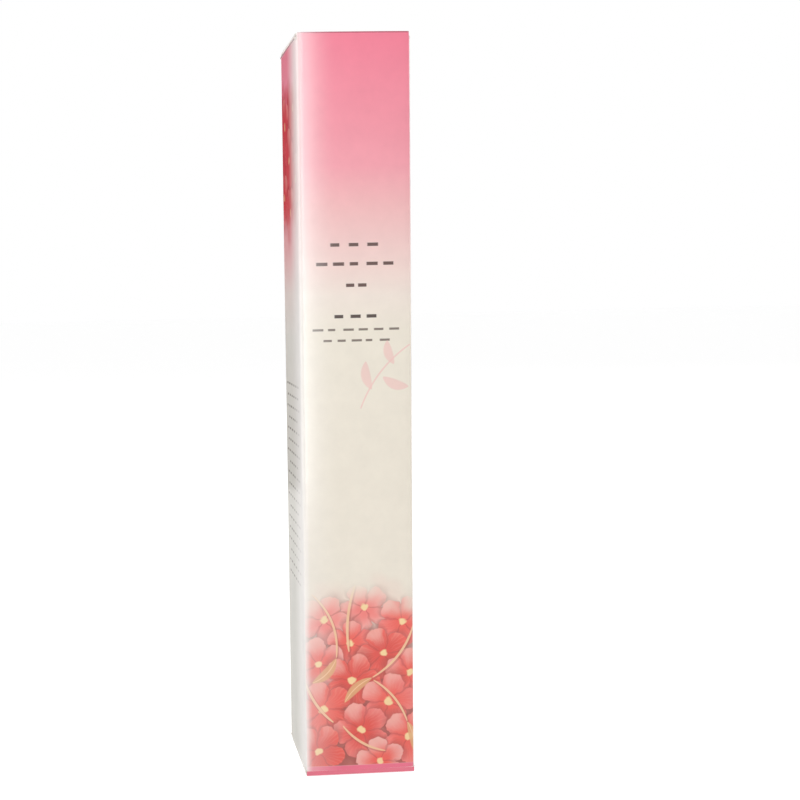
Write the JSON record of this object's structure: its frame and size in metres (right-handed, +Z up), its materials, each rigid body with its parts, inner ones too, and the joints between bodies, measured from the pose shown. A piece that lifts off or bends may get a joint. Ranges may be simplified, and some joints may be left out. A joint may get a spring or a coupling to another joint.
{
  "type": "boxed nail oil pen",
  "caption": "Slim square tuck-end carton holding a capped twist-up nail oil pen; lids open with their flaps, and the knob drives a screw and piston to feed oil to the brush.",
  "frame": {"origin": "middle of the closed carton's base, on the surface that it stands on", "axes": "+Z up the carton, printed front facing -Y, +X to the right of someone who faces the front"},
  "size_m": [0.02, 0.02, 0.131],
  "materials": {
    "coated_board": "gloss laminated print outside, bare white inside",
    "knob_plastic": "glossy moulded",
    "white_plastic": "satin moulded",
    "clear_plastic": "clear moulded",
    "acetal": "natural moulded",
    "spring_steel": "bright drawn wire",
    "ferrule_steel": "polished",
    "seal_rubber": "matte",
    "bristle": "soft nylon filament",
    "oil": "clear amber liquid"
  },
  "bodies": {
    "carton": {"front_panel": "coated_board", "back_panel": "coated_board", "left_panel": "coated_board", "right_panel": "coated_board", "glue_flap": "coated_board"},
    "top_lid": {"top_lid": "coated_board"},
    "top_tuck": {"top_tuck_flap": "coated_board"},
    "top_dust_left": {"top_dust_flap_left": "coated_board"},
    "top_dust_right": {"top_dust_flap_right": "coated_board"},
    "bottom_lid": {"bottom_lid": "coated_board"},
    "bottom_tuck": {"bottom_tuck_flap": "coated_board"},
    "bottom_dust_left": {"bottom_dust_flap_left": "coated_board"},
    "bottom_dust_right": {"bottom_dust_flap_right": "coated_board"},
    "pen_body": {"barrel": "clear_plastic", "end_bush": "acetal", "screw_nut": "acetal", "oil_fill": "oil", "brush_holder": "white_plastic", "holder_o_ring": "seal_rubber", "brush_ferrule": "ferrule_steel", "feed_tube": "clear_plastic", "brush_tuft": "bristle"},
    "knob_unit": {"twist_knob": "knob_plastic", "knob_end_plug": "knob_plastic", "drive_tube": "acetal", "retaining_clip": "spring_steel", "click_spring": "spring_steel", "ratchet_ring": "acetal"},
    "screw_unit": {"lead_screw": "white_plastic"},
    "piston_unit": {"piston": "white_plastic", "piston_o_ring": "seal_rubber"},
    "cap_unit": {"cap": "clear_plastic", "cap_liner": "white_plastic"}
  },
  "joints": [
    {"name": "top_lid_hinge", "type": "hinge", "parent": "carton", "child": "top_lid", "pos_m": [0, 0.01, 0.131], "axis": [-1, 0, 0], "range_deg": [0, 180]},
    {"name": "top_tuck_fold", "type": "hinge", "parent": "top_lid", "child": "top_tuck", "pos_m": [0, -0.00905, 0.1305], "axis": [-1, 0, 0], "range_deg": [-63.5, 0]},
    {"name": "top_dust_fold_left", "type": "hinge", "parent": "carton", "child": "top_dust_left", "pos_m": [-0.01, 0, 0.13053], "axis": [0, -1, 0], "range_deg": [0, 99.5]},
    {"name": "top_dust_fold_right", "type": "hinge", "parent": "carton", "child": "top_dust_right", "pos_m": [0.01, 0, 0.13053], "axis": [0, 1, 0], "range_deg": [0, 99.5]},
    {"name": "bottom_lid_hinge", "type": "hinge", "parent": "carton", "child": "bottom_lid", "pos_m": [0, -0.01, 0], "axis": [-1, 0, 0], "range_deg": [0, 180]},
    {"name": "bottom_tuck_fold", "type": "hinge", "parent": "bottom_lid", "child": "bottom_tuck", "pos_m": [0, 0.00905, 0.0005], "axis": [-1, 0, 0], "range_deg": [-63.5, 0]},
    {"name": "bottom_dust_fold_left", "type": "hinge", "parent": "carton", "child": "bottom_dust_left", "pos_m": [-0.01, 0, 0.00047], "axis": [0, 1, 0], "range_deg": [0, 99.5]},
    {"name": "bottom_dust_fold_right", "type": "hinge", "parent": "carton", "child": "bottom_dust_right", "pos_m": [0.01, 0, 0.00047], "axis": [0, -1, 0], "range_deg": [0, 99.5]},
    {"name": "pen_slide", "type": "slide", "parent": "carton", "child": "pen_body", "axis": [0, 0, 1], "range_m": [0, 0.0095]},
    {"name": "cap_pull", "type": "slide", "parent": "pen_body", "child": "cap_unit", "axis": [0, 0, 1], "range_m": [0, 0.0095]},
    {"name": "knob_turn", "type": "hinge", "parent": "pen_body", "child": "knob_unit", "pos_m": [0, 0, 0], "axis": [0, 0, 1], "range_deg": [0, 2880]},
    {"name": "screw_feed", "type": "slide", "parent": "knob_unit", "child": "screw_unit", "axis": [0, 0, 1], "range_m": [0, 0.02401]},
    {"name": "piston_feed", "type": "slide", "parent": "pen_body", "child": "piston_unit", "axis": [0, 0, 1], "range_m": [0, 0.02401], "deforming": ["oil_fill"]}
  ],
  "couplings": [
    {"joint": "top_tuck_fold", "follows": "top_lid_hinge", "ratio": -0.35},
    {"joint": "top_dust_fold_left", "follows": "top_lid_hinge", "ratio": 0.55},
    {"joint": "top_dust_fold_right", "follows": "top_lid_hinge", "ratio": 0.55},
    {"joint": "bottom_tuck_fold", "follows": "bottom_lid_hinge", "ratio": -0.35},
    {"joint": "bottom_dust_fold_left", "follows": "bottom_lid_hinge", "ratio": 0.55},
    {"joint": "bottom_dust_fold_right", "follows": "bottom_lid_hinge", "ratio": 0.55},
    {"joint": "screw_feed", "follows": "knob_turn", "m_per_rad": 0.00047746},
    {"joint": "piston_feed", "follows": "knob_turn", "m_per_rad": 0.00047746}
  ]
}
